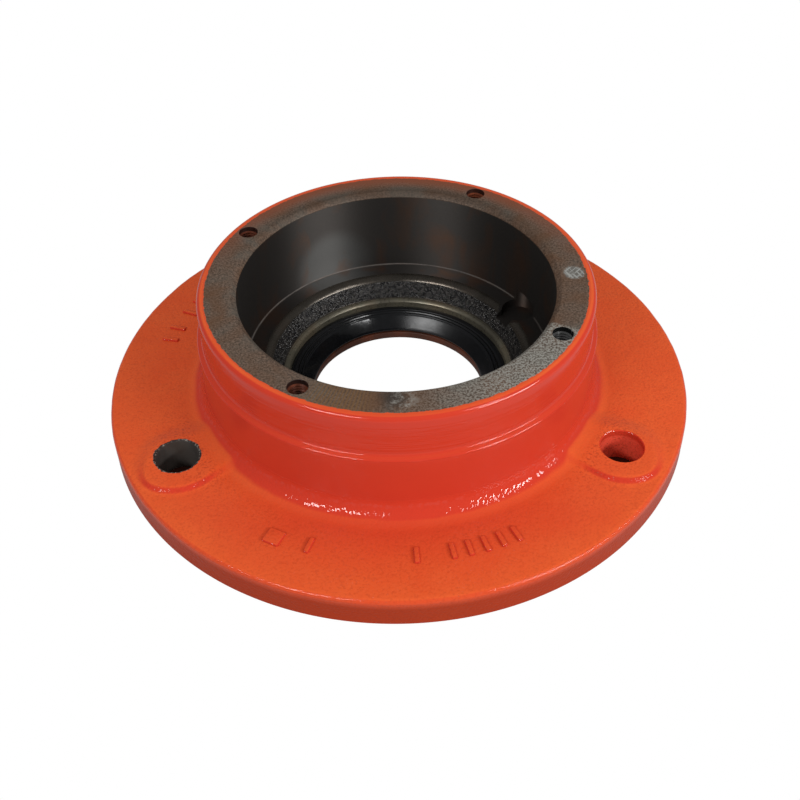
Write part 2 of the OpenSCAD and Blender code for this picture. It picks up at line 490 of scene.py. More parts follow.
    # Bare iron: the edge of the faced rim, and a torn ring round the hole that was drilled last.
    ragged = add(
        tree, "TexNoise", {"Vector": place, "Scale": per_mm(2.5), "Detail": 5, "Roughness": 0.7}
    ).outputs[0]
    faced_r = add(tree, "VectorMath", {0: flat, 1: FACED_AT * MM}, operation="DISTANCE").outputs["Value"]
    to_rim = add(tree, "Math", {0: ragged, 1: 2 * MM, 2: faced_r}, operation="MULTIPLY_ADD").outputs[0]
    past_rim = add(
        tree,
        "MapRange",
        {"Value": to_rim, "From Min": (FACED_R + 1.1) * MM, "From Max": (FACED_R + 0.9) * MM},
    ).outputs[0]
    on_top = add(
        tree,
        "MapRange",
        {"Value": xyz.outputs["Z"], "From Min": (HUB_H - 1) * MM, "From Max": (HUB_H - 0.7) * MM},
    ).outputs[0]
    rim_bare = add(tree, "Math", {0: past_rim, 1: on_top}, operation="MULTIPLY").outputs[0]
    bare_hole = at_turn(BOLT_CIRCLE_R, BARE_HOLE_TURN) * MM
    from_hole = add(tree, "VectorMath", {0: flat, 1: bare_hole}, operation="DISTANCE").outputs["Value"]
    to_hole = add(tree, "Math", {0: ragged, 1: 2.4 * MM, 2: from_hole}, operation="MULTIPLY_ADD").outputs[0]
    hole_bare = add(
        tree,
        "MapRange",
        {"Value": to_hole, "From Min": (BOLT_HOLE_R + 2.15) * MM, "From Max": (BOLT_HOLE_R + 1.95) * MM},
    ).outputs[0]
    bare = add(tree, "Math", {0: rim_bare, 1: hole_bare}, operation="MAXIMUM").outputs[0]
    torn = add(tree, "MapRange", {"Value": sand, "From Min": 0.5, "From Max": 0.68}).outputs[0]
    iron = add(
        tree, "Mix", {"Factor": torn, 6: linear("#2a2522"), 7: linear("#8f877e")}, data_type="RGBA"
    ).outputs[2]

    # Colour, in layers from the flange's orange up.
    colour = add(
        tree, "Mix", {"Factor": swell, 6: linear("#d74f26"), 7: linear("#df6130")}, data_type="RGBA"
    ).outputs[2]
    for share, layer in (
        (red_shade, linear("#c63925")),
        (hole_light, linear("#e2533d")),
        (thin_cast, linear("#a3361c")),
        (foot_shade, linear("#8a2a12")),
        (rim_bare, linear("#66574b")),
        (hole_bare, iron),
    ):
        colour = add(tree, "Mix", {"Factor": share, 6: colour, 7: layer}, data_type="RGBA").outputs[2]

    # Gloss: duller on upright cast faces and on the turned band, and lost on bare iron.
    cast_gloss = add(
        tree,
        "MapRange",
        {"Value": facing.outputs["Z"], "From Min": 0.1, "From Max": 0.35, "To Min": 0.3, "To Max": 0.055},
    ).outputs[0]
    gloss = add(tree, "Mix", {"Factor": turned, 2: cast_gloss, 3: 0.1}, data_type="FLOAT").outputs[0]
    rough = add(tree, "Mix", {"Factor": bare, 2: gloss, 3: 0.55}, data_type="FLOAT").outputs[0]
    shader = add(
        tree,
        "BsdfPrincipled",
        {"Base Color": colour, "Roughness": rough, "Normal": bump, "IOR": 1.5, "Specular IOR Level": shine},
    )
    add(tree, "OutputMaterial", {"Surface": shader.outputs[0]})
    return material


def rim_iron():
    """Faced grey iron that has stood bare.

    The eye sees a dull grey-brown with fine tool lines, rust stains, grime and rubbed paint at the back. A
    stretch in front is silvery, next to it are chatter marks and a smear of oil with a pale patch in it that
    is a painted glint, and one spot has been scratched bright. Tool lines and scratches are drawn coarser
    than real ones, so that they show.
    """
    material, tree = new_material("faced_grey_iron_rim")
    place = add(tree, "TexCoord").outputs["Object"]
    xyz = add(tree, "SeparateXYZ", {0: place})
    flat = add(tree, "VectorMath", {0: place, 1: (1, 1, 0)}, operation="MULTIPLY").outputs[0]
    radius = add(tree, "VectorMath", {0: flat}, operation="LENGTH").outputs["Value"]
    turn = add(tree, "Math", {0: xyz.outputs["Y"], 1: xyz.outputs["X"]}, operation="ARCTAN2").outputs[0]

    # Patterns: tool lines along the turn, a fine mottle, slow stains and a ragged edge.
    slow_turn = add(tree, "Math", {0: turn, 1: 0.003}, operation="MULTIPLY").outputs[0]
    along_tool = add(tree, "CombineXYZ", {0: radius, 1: slow_turn}).outputs[0]
    tool_lines = add(tree, "TexNoise", {"Vector": along_tool, "Scale": per_mm(0.8), "Detail": 3}).outputs[0]
    mottle = add(
        tree, "TexNoise", {"Vector": place, "Scale": per_mm(0.85), "Detail": 2, "Roughness": 0.7}
    ).outputs[0]
    stain = add(
        tree, "TexNoise", {"Vector": place, "Scale": per_mm(17), "Detail": 4, "Distortion": 0.6}
    ).outputs[0]
    ragged = add(
        tree, "TexNoise", {"Vector": place, "Scale": per_mm(2.5), "Detail": 5, "Roughness": 0.7}
    ).outputs[0]

    # Oxide all over, with rust and clean grey in the stains.
    grain = add(tree, "MapRange", {"Value": mottle, "From Min": 0.36, "From Max": 0.64}).outputs[0]
    rusty = add(
        tree, "MapRange", {"Value": stain, "From Min": 0.48, "From Max": 0.68, "To Min": 0, "To Max": 0.55}
    ).outputs[0]
    greyed = add(
        tree, "MapRange", {"Value": stain, "From Min": 0.48, "From Max": 0.36, "To Min": 0, "To Max": 0.45}
    ).outputs[0]

    # At the back, grime by the bore and rubbed paint further out.
    behind = add(
        tree, "MapRange", {"Value": xyz.outputs["Y"], "From Min": 10 * MM, "From Max": 60 * MM}
    ).outputs[0]
    inner = add(
        tree,
        "MapRange",
        {"Value": radius, "From Min": 73 * MM, "From Max": 66.8 * MM, "To Max": behind},
    ).outputs[0]
    grimy = add(tree, "Math", {0: inner, 1: 0.62}, operation="MULTIPLY").outputs[0]
    outer = add(
        tree,
        "MapRange",
        {"Value": radius, "From Min": 68.5 * MM, "From Max": 77 * MM, "To Max": behind},
        interpolation_type="SMOOTHSTEP",
    ).outputs[0]

    # In front, a silvery stretch and one with chatter marks.
    stretches = []
    for turns in (SILVERY_TURNS, CHATTERED_TURNS):
        begins_at, full_from, ends_at, full_to = [math.radians(degrees) for degrees in turns]
        begins = add(
            tree, "MapRange", {"Value": turn, "From Min": begins_at, "From Max": full_from}
        ).outputs[0]
        ends = add(tree, "MapRange", {"Value": turn, "From Min": ends_at, "From Max": full_to}).outputs[0]
        stretches.append(add(tree, "Math", {0: begins, 1: ends}, operation="MULTIPLY").outputs[0])
    rubbed, chattered = stretches
    fleck = add(
        tree, "MapRange", {"Value": mottle, "From Min": 0.42, "From Max": 0.58, "To Min": 0.05, "To Max": 1}
    ).outputs[0]
    silvery = add(tree, "Math", {0: rubbed, 1: fleck}, operation="MULTIPLY").outputs[0]
    chatter_turn = add(tree, "Math", {0: turn, 1: CHATTER_PER_RADIAN}, operation="MULTIPLY").outputs[0]
    chatter = add(tree, "Math", {0: chatter_turn}, operation="SINE").outputs[0]
    ridge = add(
        tree, "MapRange", {"Value": chatter, "From Min": -1, "From Max": 1, "To Min": 0, "To Max": 0.8}
    ).outputs[0]
    hatched = add(tree, "Math", {0: chattered, 1: ridge}, operation="MULTIPLY").outputs[0]

    # A smear of oil, and a pale patch in it that is a painted glint.
    smear_at = add(
        tree, "VectorMath", {0: flat, 1: SMEAR_AT * MM}, operation="DISTANCE"
    ).outputs["Value"]
    smear_edge = add(tree, "Math", {0: stain, 1: 8 * MM, 2: smear_at}, operation="MULTIPLY_ADD").outputs[0]
    oiled = add(
        tree,
        "MapRange",
        {"Value": smear_edge, "From Min": 12 * MM, "From Max": 7 * MM, "To Min": 0, "To Max": 0.75},
    ).outputs[0]
    glint_from = add(
        tree, "VectorMath", {0: flat, 1: GLINT_AT * MM}, operation="DISTANCE"
    ).outputs["Value"]
    # How far the painted glint reaches.
    wiped = add(
        tree,
        "MapRange",
        {"Value": glint_from, "From Min": 7 * MM, "From Max": 3 * MM, "To Min": 0, "To Max": 0.8},
    ).outputs[0]
    painted_glint = add(
        tree, "MapRange", {"Value": ragged, "From Min": 0.46, "From Max": 0.62, "To Min": 0, "To Max": wiped}
    ).outputs[0]

    # A round spot scratched bright, in two directions.
    spot_at = add(
        tree, "VectorMath", {0: flat, 1: SCRATCHED_AT * MM}, operation="DISTANCE"
    ).outputs["Value"]
    spot_edge = add(tree, "Math", {0: mottle, 1: 3.5 * MM, 2: spot_at}, operation="MULTIPLY_ADD").outputs[0]
    spot = add(
        tree, "MapRange", {"Value": spot_edge, "From Min": 6.4 * MM, "From Max": 5.4 * MM}
    ).outputs[0]
    scratch = 0
    for lean in (-42, 25):
        scored = add(
            tree,
            "Mapping",
            {"Vector": place, "Rotation": (0, 0, math.radians(lean)), "Scale": (1, 9, 1)},
            vector_type="TEXTURE",
        ).outputs[0]
        lines = add(tree, "TexNoise", {"Vector": scored, "Scale": per_mm(0.9), "Detail": 1}).outputs[0]
        cut = add(tree, "MapRange", {"Value": lines, "From Min": 0.48, "From Max": 0.62}).outputs[0]
        scratch = add(tree, "Math", {0: scratch, 1: cut}, operation="MAXIMUM").outputs[0]
    bright = add(
        tree, "Mix", {"Factor": scratch, 6: linear("#75726c"), 7: linear("#adada8")}, data_type="RGBA"
    ).outputs[2]

    # Paint outside the circle that the tool faced.
    faced_r = add(tree, "VectorMath", {0: flat, 1: FACED_AT * MM}, operation="DISTANCE").outputs["Value"]
    to_paint = add(tree, "Math", {0: ragged, 1: 2 * MM, 2: faced_r}, operation="MULTIPLY_ADD").outputs[0]
    painted = add(
        tree,
        "MapRange",
        {"Value": to_paint, "From Min": (FACED_R + 0.9) * MM, "From Max": (FACED_R + 1.1) * MM},
    ).outputs[0]

    # Colour, in layers from the oxide up.
    colour = add(
        tree, "Mix", {"Factor": grain, 6: linear("#4d4036"), 7: linear("#846e5e")}, data_type="RGBA"
    ).outputs[2]
    for share, layer in (
        (rusty, linear("#6f4a2e")),
        (greyed, linear("#6a6961")),
        (grimy, linear("#3b2d22")),
        (outer, linear("#8d5138")),
        (silvery, linear("#a3a199")),
        (hatched, linear("#80603f")),
        (oiled, linear("#3b3a38")),
        (painted_glint, linear("#a5a199")),
        (spot, bright),
        (painted, linear("#d2502a")),
    ):
        colour = add(tree, "Mix", {"Factor": share, 6: colour, 7: layer}, data_type="RGBA").outputs[2]

    # Relief and gloss: rough where dry, smoother under oil and paint.
    metallic = add(tree, "MapRange", {"Value": painted, "To Min": 0.35, "To Max": 0}).outputs[0]
    lines_mm = add(tree, "Math", {0: tool_lines, 1: 0.03 * MM}, operation="MULTIPLY").outputs[0]
    height = add(tree, "Math", {0: mottle, 1: 0.06 * MM, 2: lines_mm}, operation="MULTIPLY_ADD").outputs[0]
    bump = add(tree, "Bump", {"Height": height, "Distance": 1, "Strength": 1}).outputs[0]
    dry = add(
        tree, "MapRange", {"Value": mottle, "From Min": 0.3, "From Max": 0.7, "To Min": 0.6, "To Max": 0.42}
    ).outputs[0]
    wet = add(tree, "Mix", {"Factor": oiled, 2: dry, 3: 0.16}, data_type="FLOAT").outputs[0]
    rough = add(tree, "Mix", {"Factor": painted, 2: wet, 3: 0.12}, data_type="FLOAT").outputs[0]
    shader = add(
        tree,
        "BsdfPrincipled",
        {
            "Base Color": colour,
            "Roughness": rough,
            "Normal": bump,
            "Metallic": metallic,
            "Specular IOR Level": 0.4,
        },
    )
    add(tree, "OutputMaterial", {"Surface": shader.outputs[0]})
    return material


def bored_seat():
    """Bored iron under old oil.

    The eye sees near-black metal with brown stains. In one patch the metal is painted lighter, as sheen, and
    is a little glossier. The tool lines draw the lamps' soft grey sheen out from top to bottom. They are too
    fine to show one by one, so anisotropy stands for them.
    """
    material, tree = new_material("bored_iron_seat")
    place = add(tree, "TexCoord").outputs["Object"]
    tall = add(tree, "VectorMath", {0: place, 1: (1, 1, 0.5)}, operation="MULTIPLY").outputs[0]
    cloud = add(
        tree, "TexNoise", {"Vector": tall, "Scale": per_mm(16), "Detail": 5, "Distortion": 0.5}
    ).outputs[0]
    speck = add(tree, "TexNoise", {"Vector": place, "Scale": per_mm(1.2), "Detail": 4}).outputs[0]
    sheen_at = at_turn(SEAT_R, SHEEN_TURN, SHEEN_Z) * MM
    away = add(tree, "VectorMath", {0: place, 1: sheen_at}, operation="DISTANCE").outputs["Value"]
    rubbed = add(
        tree,
        "MapRange",
        {"Value": away, "From Min": 22 * MM, "From Max": 13 * MM},
        interpolation_type="SMOOTHSTEP",
    ).outputs[0]
    # The sheen patch is painted lighter metal.
    metal = add(
        tree, "Mix", {"Factor": rubbed, 6: linear("#4c4845"), 7: linear("#5a5957")}, data_type="RGBA"
    ).outputs[2]
    stained = add(
        tree, "MapRange", {"Value": cloud, "From Min": 0.5, "From Max": 0.68, "To Min": 0, "To Max": 0.65}
    ).outputs[0]
    colour = add(
        tree, "Mix", {"Factor": stained, 6: metal, 7: linear("#634736")}, data_type="RGBA"
    ).outputs[2]
    wear_rough = add(tree, "Mix", {"Factor": rubbed, 2: 0.55, 3: 0.44}, data_type="FLOAT").outputs[0]
    rough = add(tree, "Math", {0: speck, 1: 0.1, 2: wear_rough}, operation="MULTIPLY_ADD").outputs[0]
    height = add(tree, "Math", {0: speck, 1: 0.012 * MM}, operation="MULTIPLY").outputs[0]
    bump = add(tree, "Bump", {"Height": height, "Distance": 1, "Strength": 1}).outputs[0]
    round_axis = add(tree, "Tangent", direction_type="RADIAL", axis="Z").outputs[0]
    shader = add(
        tree,
        "BsdfPrincipled",
        {
            "Base Color": colour,
            "Roughness": rough,
            "Normal": bump,
            "Metallic": 0.85,
            "Anisotropic": 0.95,
            "Anisotropic Rotation": 0.25,
            "Tangent": round_axis,
        },
    )
    add(tree, "OutputMaterial", {"Surface": shader.outputs[0]})
    return material


def machined_iron(name, pale, dark, rust, rust_most, line_mm, rough, metallic):
    """Cut iron: tool lines round the axis, clouds from dark to pale and brown stains that run down.

    The lines are drawn wider than real ones, so that they show.
    """
    material, tree = new_material(name)
    place = add(tree, "TexCoord").outputs["Object"]
    long_way = add(tree, "VectorMath", {0: place, 1: (0.02, 0.02, 1)}, operation="MULTIPLY").outputs[0]
    tool_lines = add(
        tree, "TexNoise", {"Vector": long_way, "Scale": per_mm(line_mm), "Detail": 3}
    ).outputs[0]
    tall = add(tree, "VectorMath", {0: place, 1: (1, 1, 0.35)}, operation="MULTIPLY").outputs[0]
    stain = add(
        tree, "TexNoise", {"Vector": tall, "Scale": per_mm(15), "Detail": 5, "Distortion": 0.4}
    ).outputs[0]
    mottle = add(tree, "TexNoise", {"Vector": place, "Scale": per_mm(1.4), "Detail": 4}).outputs[0]
    cloud = add(tree, "MapRange", {"Value": stain, "From Min": 0.3, "From Max": 0.62}).outputs[0]
    metal = add(tree, "Mix", {"Factor": cloud, 6: linear(dark), 7: linear(pale)}, data_type="RGBA").outputs[2]
    rust_share = add(
        tree,
        "MapRange",
        {"Value": stain, "From Min": 0.52, "From Max": 0.68, "To Min": 0, "To Max": rust_most},
    ).outputs[0]
    colour = add(
        tree, "Mix", {"Factor": rust_share, 6: metal, 7: linear(rust)}, data_type="RGBA"
    ).outputs[2]
    lines_mm = add(tree, "Math", {0: tool_lines, 1: 0.012 * MM}, operation="MULTIPLY").outputs[0]
    height = add(tree, "Math", {0: mottle, 1: 0.012 * MM, 2: lines_mm}, operation="MULTIPLY_ADD").outputs[0]
    bump = add(tree, "Bump", {"Height": height, "Distance": 1, "Strength": 1}).outputs[0]
    roughness = add(
        tree,
        "MapRange",
        {"Value": mottle, "From Min": 0.3, "From Max": 0.7, "To Min": rough[0], "To Max": rough[1]},
    ).outputs[0]
    shader = add(
        tree,
        "BsdfPrincipled",
        {"Base Color": colour, "Roughness": roughness, "Normal": bump, "Metallic": metallic},
    )
    add(tree, "OutputMaterial", {"Surface": shader.outputs[0]})
    return material


def oily_casting():
    """Raw sand-cast iron, wet with oil: nearly black, with a grain that glints.

    The grain is drawn coarser than the sand's own, so that it shows.
    """
    material, tree = new_material("oiled_sand_cast_iron")
    place = add(tree, "TexCoord").outputs["Object"]
    sand = add(
        tree, "TexNoise", {"Vector": place, "Scale": per_mm(1.3), "Detail": 4, "Roughness": 0.65}
    ).outputs[0]
    film = add(tree, "TexNoise", {"Vector": place, "Scale": per_mm(9), "Detail": 2}).outputs[0]
    worn = add(tree, "MapRange", {"Value": sand, "From Min": 0.42, "From Max": 0.68}).outputs[0]
    colour = add(
        tree, "Mix", {"Factor": worn, 6: linear("#151415"), 7: linear("#4a4744")}, data_type="RGBA"
    ).outputs[2]
    height = add(tree, "Math", {0: sand, 1: 0.8 * MM}, operation="MULTIPLY").outputs[0]
    bump = add(tree, "Bump", {"Height": height, "Distance": 1, "Strength": 1}).outputs[0]
    rough = add(
        tree, "MapRange", {"Value": film, "From Min": 0.35, "From Max": 0.65, "To Min": 0.1, "To Max": 0.28}
    ).outputs[0]
    shader = add(
        tree,
        "BsdfPrincipled",
        {"Base Color": colour, "Roughness": rough, "Normal": bump, "Metallic": 0.3},
    )
    add(tree, "OutputMaterial", {"Surface": shader.outputs[0]})
    return material


def seal_rubber():
    """Moulded black nitrile rubber: deep black with soft highlights, sharper at the left where it is oily."""
    material, tree = new_material("oiled_nitrile_rubber")
    place = add(tree, "TexCoord").outputs["Object"]
    xyz = add(tree, "SeparateXYZ", {0: place})
    skin = add(tree, "TexNoise", {"Vector": place, "Scale": per_mm(2.5), "Detail": 3}).outputs[0]
    colour = add(
        tree, "Mix", {"Factor": skin, 6: linear("#0d0e10"), 7: linear("#17181b")}, data_type="RGBA"
    ).outputs[2]
    wiped = add(
        tree,
        "MapRange",
        {"Value": xyz.outputs["X"], "From Min": -8 * MM, "From Max": 6 * MM, "To Min": 0.09, "To Max": 0.26},
    ).outputs[0]
    rough = add(tree, "Math", {0: skin, 1: 0.08, 2: wiped}, operation="MULTIPLY_ADD").outputs[0]
    height = add(tree, "Math", {0: skin, 1: 0.02 * MM}, operation="MULTIPLY").outputs[0]
    bump = add(tree, "Bump", {"Height": height, "Distance": 1, "Strength": 1}).outputs[0]
    shader = add(
        tree,
        "BsdfPrincipled",
        {"Base Color": colour, "Roughness": rough, "Normal": bump, "IOR": 1.52},
    )
    add(tree, "OutputMaterial", {"Surface": shader.outputs[0]})
    return material


def spring_wire():
    """Drawn spring steel: bright grey wire with faint streaks, drawn wider so that they show."""
    material, tree = new_material("drawn_spring_steel")
    place = add(tree, "TexCoord").outputs["Object"]
    streak = add(tree, "TexNoise", {"Vector": place, "Scale": per_mm(1.2), "Detail": 2}).outputs[0]
    colour = add(
        tree, "Mix", {"Factor": streak, 6: linear("#7d8084"), 7: linear("#a4a7ab")}, data_type="RGBA"
    ).outputs[2]
    rough = add(tree, "MapRange", {"Value": streak, "To Min": 0.25, "To Max": 0.4}).outputs[0]
    shader = add(tree, "BsdfPrincipled", {"Base Color": colour, "Roughness": rough, "Metallic": 1})
    add(tree, "OutputMaterial", {"Surface": shader.outputs[0]})
    return material


PAINT, RIM, SEAT, THROAT, LEDGE, DRILLED, RUSTY, OILY, FOOT, LIP, EDGE, RUSTY_CREST, OILY_CREST = range(13)
housing_finishes = [
    enamel(),
    rim_iron(),
    bored_seat(),
    oily_casting(),
    # The ledge above the seal: pale grey with a low gloss of oil.
    machined_iron(
        "turned_iron_ledge",
        pale="#7a7464", dark="#575348", rust="#6a5640", rust_most=0.4,
        line_mm=0.5, rough=(0.24, 0.38), metallic=0.5,
    ),
    # The hole drilled after painting and the corner of the seat: dull grey.
    machined_iron(
        "drilled_iron",
        pale="#68615c", dark="#46413d", rust="#4a372b", rust_most=0.5,
        line_mm=0.8, rough=(0.38, 0.55), metallic=0.4,
    ),
    # Walls of three tapped holes: dark red-brown and dull.
    machined_iron(
        "rusted_tapped_iron",
        pale="#3a1c13", dark="#1f0e0a", rust="#4a2416", rust_most=0.6,
        line_mm=0.8, rough=(0.4, 0.6), metallic=0.2,
    ),
    # Wall of the fourth: black and wet.
    machined_iron(
        "oiled_tapped_iron",
        pale="#1f1f1f", dark="#0f0f0f", rust="#26201c", rust_most=0.4,
        line_mm=0.8, rough=(0.12, 0.25), metallic=0.5,
    ),
    # The underside: light, clean metal.
    machined_iron(
        "faced_iron_foot",
        pale="#8b8680", dark="#6e6964", rust="#6f5744", rust_most=0.6,
        line_mm=0.7, rough=(0.34, 0.5), metallic=0.7,
    ),
    # The lip round the shaft hole: a matt red-brown from spray that drifted in, painted darker as shade.
    machined_iron(
        "overspray_on_iron_in_painted_shade",
        pale="#6a3823", dark="#43261a", rust="#803d20", rust_most=0.5,
        line_mm=0.8, rough=(0.45, 0.6), metallic=0.1,
    ),
    # Rounded edges in the bore: a dark sheen, from rubbing.
    machined_iron(
        "worn_iron_edge",
        pale="#57514a", dark="#403c36", rust="#4a3d33", rust_most=0.5,
        line_mm=0.5, rough=(0.22, 0.32), metallic=0.75,
    ),
    # Crests of the rusted threads: rusty, and painted lighter and redder than the walls behind them, as
    # glints.
    machined_iron(
        "rusted_thread_crest_painted_glint",
        pale="#8a4428", dark="#4f2416", rust="#a05a2e", rust_most=0.6,
        line_mm=0.8, rough=(0.2, 0.34), metallic=0.35,
    ),
    # Crest of the oiled thread: bright wet metal.
    machined_iron(
        "oiled_thread_crest",
        pale="#8f8f8f", dark="#5a5a5a", rust="#4a423c", rust_most=0.4,
        line_mm=0.8, rough=(0.12, 0.22), metallic=0.9,
    ),
]


def pad_rise(x, y):
    """Height of the raised bolt pads at a point of the flange: tongues from the hub with a round end.

    Their sides are steeper in front than behind, and soften towards the hub.
    """
    rise = 0
    for turn in BOLT_TURNS:
        spoke = at_turn(1, turn)
        along = x * spoke.x + y * spoke.y
        across = y * spoke.x - x * spoke.y
        if along > 0:
            off_middle = math.hypot(across, max(along - BOLT_CIRCLE_R, 0))
            behind = smooth(0.5 + across * spoke.x / PAD_R)
            inward = smooth((BOLT_CIRCLE_R - along) / PAD_HUB_REACH)
            slope = PAD_SLOPE_W * (1 + PAD_BACK_EASE * behind + PAD_HUB_EASE * inward)
            rise = max(rise, PAD_H * smooth((PAD_R - off_middle) / slope))
    return rise


def raise_pads(bm):
    """Lifts the flange's top to the bolt pads, which run softly into the fillet of the neck."""
    for vert in bm.verts:
        x, y, z = vert.co
        on_flange = FLANGE_T - 0.01 < z < FLANGE_T + NECK_FILLET + 0.5
        if math.hypot(x, y) < NECK_R - 0.2 or not on_flange:
            continue
        rise = pad_rise(x, y)
        blend = max(PAD_BLEND * rise / PAD_H, 0.001)
        share = min(max(0.5 + 0.5 * (FLANGE_T + rise - z) / blend, 0), 1)
        lifted = z + (FLANGE_T + rise - z) * share + blend * share * (1 - share)
        vert.co.z = lifted if rise > 0 else z


def roughen_casting(bm):
    """Lets the cast faces wander a little, as a sand mould leaves them."""
    bm.normal_update()
    for vert in bm.verts:
        x, y, z = vert.co
        if math.hypot(x, y) > NECK_R - 0.7 and FOOT_EDGE + 0.1 < z < NECK_TOP - 0.4:
            wander = sum(depth * noise.noise(vert.co / width) for width, depth in CAST_WAVES)
            vert.co += vert.normal * (wander - CAST_SUNK)


def round_bar(place, radius, top_radius, low, high, segments):
    """Closed round bar, straight or tapered, from one height to another."""
    bm = bmesh.new()
    bmesh.ops.create_cone(
        bm,
        cap_ends=True,
        segments=segments,
        radius1=radius,
        radius2=top_radius,
        depth=high - low,
        matrix=Matrix.Translation((place.x, place.y, (low + high) / 2)),
    )
    return bm


def countersink(place, radius, top, chamfer, reach, segments):
    """Cone at 45 degrees that breaks the edge of a hole by its chamfer, and reaches past it."""
    inside = 1
    return round_bar(
        place, radius - inside, radius + reach, top - chamfer - inside, top - chamfer + reach, segments
    )


def joined(shapes):
    """One bmesh of several separate shapes."""
    whole = bmesh.new()
    for shape in shapes:
        mesh = bpy.data.meshes.new("part")
        shape.to_mesh(mesh)
        shape.free()
        whole.from_mesh(mesh)
        bpy.data.meshes.remove(mesh)
    return whole


def hole_cutters():
    """Tools for the bolt holes, the tapped holes and the grease pocket with its slot."""
    past = 3
    bolt_sides = 96
    thread_sides = 48
    pocket_sides = 64
    pad_top = FLANGE_T + PAD_H
    thread_foot = HUB_H - THREAD_DEPTH
    bolts = [at_turn(BOLT_CIRCLE_R, turn) for turn in BOLT_TURNS]
    threads = [at_turn(THREAD_CIRCLE_R, turn) for turn in THREAD_TURNS]
    drills = [round_bar(p, BOLT_HOLE_R, BOLT_HOLE_R, -past, pad_top + past, bolt_sides) for p in bolts]
    drills += [round_bar(p, THREAD_R, THREAD_R, thread_foot, HUB_H + past, thread_sides) for p in threads]
    mouths = [countersink(p, BOLT_HOLE_R, pad_top, BOLT_CHAMFER, 2.5, bolt_sides) for p in bolts]
    mouths += [countersink(p, THREAD_R, HUB_H, THREAD_CHAMFER, 1.5, thread_sides) for p in threads]
    pocket_at = at_turn(POCKET_CIRCLE_R, POCKET_TURN)
    pocket_foot = SHOULDER_Z - POCKET_DEPTH
    pocket_top = SHOULDER_Z + POCKET_RISE
    pocket = round_bar(pocket_at, POCKET_R, POCKET_R, pocket_foot, pocket_top, pocket_sides)
    slot = bmesh.new()
    bmesh.ops.create_cube(slot, size=1)
    bmesh.ops.scale(slot, vec=(SLOT_L, SLOT_W, 2 * POCKET_DEPTH), verts=slot.verts)
    bmesh.ops.translate(slot, vec=(SLOT_CIRCLE_R, 0, SHOULDER_Z), verts=slot.verts)
    bmesh.ops.rotate(slot, matrix=Matrix.Rotation(math.radians(POCKET_TURN), 3, "Z"), verts=slot.verts)
    return [joined(drills), joined(mouths), pocket, slot]


def near(point, circle_r, turns, reach):
    """The turn of the hole on a circle whose axis lies within reach of a point, or None."""
    for turn in turns:
        if (point - at_turn(circle_r, turn, point.z)).length < reach:
            return turn
    return None


def casting_zone(face):
    """Which finish a face of the casting has, from the outside in and then from the top down."""
    middle = face.calc_center_median()
    radius = math.hypot(middle.x, middle.y)
    z = middle.z
    thread = near(middle, THREAD_CIRCLE_R, THREAD_TURNS, THREAD_R + 0.55)
    if thread is not None and z < HUB_H - 0.02:
        return OILY if thread == OILY_THREAD_TURN else RUSTY
    if near(middle, BOLT_CIRCLE_R, (BARE_HOLE_TURN,), BOLT_HOLE_R + 0.1) is not None:
        return DRILLED
    if z < 0.05:
        return FOOT
    if radius > BAND_R - RIM_ROUND - 0.1:
        return PAINT
    if z > HUB_H - SEAT_LEAD - 0.2:
        return RIM
    if near(middle, POCKET_CIRCLE_R, (POCKET_TURN,), POCKET_R + 1.5) is not None:
        return SEAT
    if radius > SEAT_R - SEAT_ROUND - 0.05 and z < SHOULDER_Z + SEAT_ROUND + 0.1:
        return DRILLED
    if radius < SHOULDER_R + SHOULDER_ROUND + 0.1 and z > SHOULDER_Z - SHOULDER_ROUND + 0.1:
        return EDGE
    if abs(radius - THROAT_R) < 0.4 and z < LEDGE_Z + 0.6:
        return EDGE
    if z > SHOULDER_Z - 0.2:
        return SEAT
    if z > LEDGE_Z + 0.1:
        return THROAT
    return LEDGE if z > FLOOR_T + 0.05 else LIP


def casting_pitch(r, z):
    """Longest edge at a place of the casting's outline: short where pads and a cast surface shape it."""
    plain, cast, padded = 12, 3, 0.9
    if r < BAND_R + 1 or z < FOOT_EDGE - 0.3:
        return plain
    return padded if r > NECK_R + 0.8 and z > FLANGE_T - 0.5 else cast


def build_casting():
    """The whole casting: a turned ring with raised pads, a cast surface and its holes."""
    bm = turned_ring(CASTING_OUTLINE, RING_STEPS, casting_pitch)
    raise_pads(bm)
    roughen_casting(bm)
    bm = cut_away(bm, hole_cutters())
    for face in bm.faces:
        face.material_index = casting_zone(face)
    make_piece("cast_housing", bm, housing_finishes, "painted_casting", "housing")


def thread_ridge(turn):
    """Ridge of the thread in one tapped hole: a narrow crest that winds up the wall."""
    steps = 24
    root_r = THREAD_R + 0.03
    crest_r = THREAD_R - 0.62
    foot = HUB_H - THREAD_DEPTH + 0.2
    section = ((root_r, 0), (crest_r, 0.42), (crest_r, 0.52), (root_r, 0.94))
    axis = at_turn(THREAD_CIRCLE_R, turn)
    bm = bmesh.new()
    corners = [bm.verts.new((axis.x + r, axis.y, foot + THREAD_PITCH * share)) for r, share in section]
    bmesh.ops.spin(
        bm,
        geom=[bm.faces.new(corners)],
        axis=(0, 0, 1),
        cent=axis,
        dvec=(0, 0, THREAD_PITCH / steps),
        angle=math.tau * THREAD_WINDINGS,
        steps=steps * THREAD_WINDINGS,
        use_duplicate=False,
    )
    bmesh.ops.remove_doubles(bm, verts=bm.verts, dist=0.0005)
    bmesh.ops.recalc_face_normals(bm, faces=bm.faces)
    return bm


def build_threads():
    """Threads in the rim's tapped holes: three are rusted, and one is wet with oil."""
    rusted = [thread_ridge(turn) for turn in THREAD_TURNS if turn != OILY_THREAD_TURN]
    make_piece("rusted_threads", joined(rusted), [housing_finishes[RUSTY_CREST]], "painted_casting")
    oiled = thread_ridge(OILY_THREAD_TURN)
    make_piece("oiled_thread", oiled, [housing_finishes[OILY_CREST]], "painted_casting")


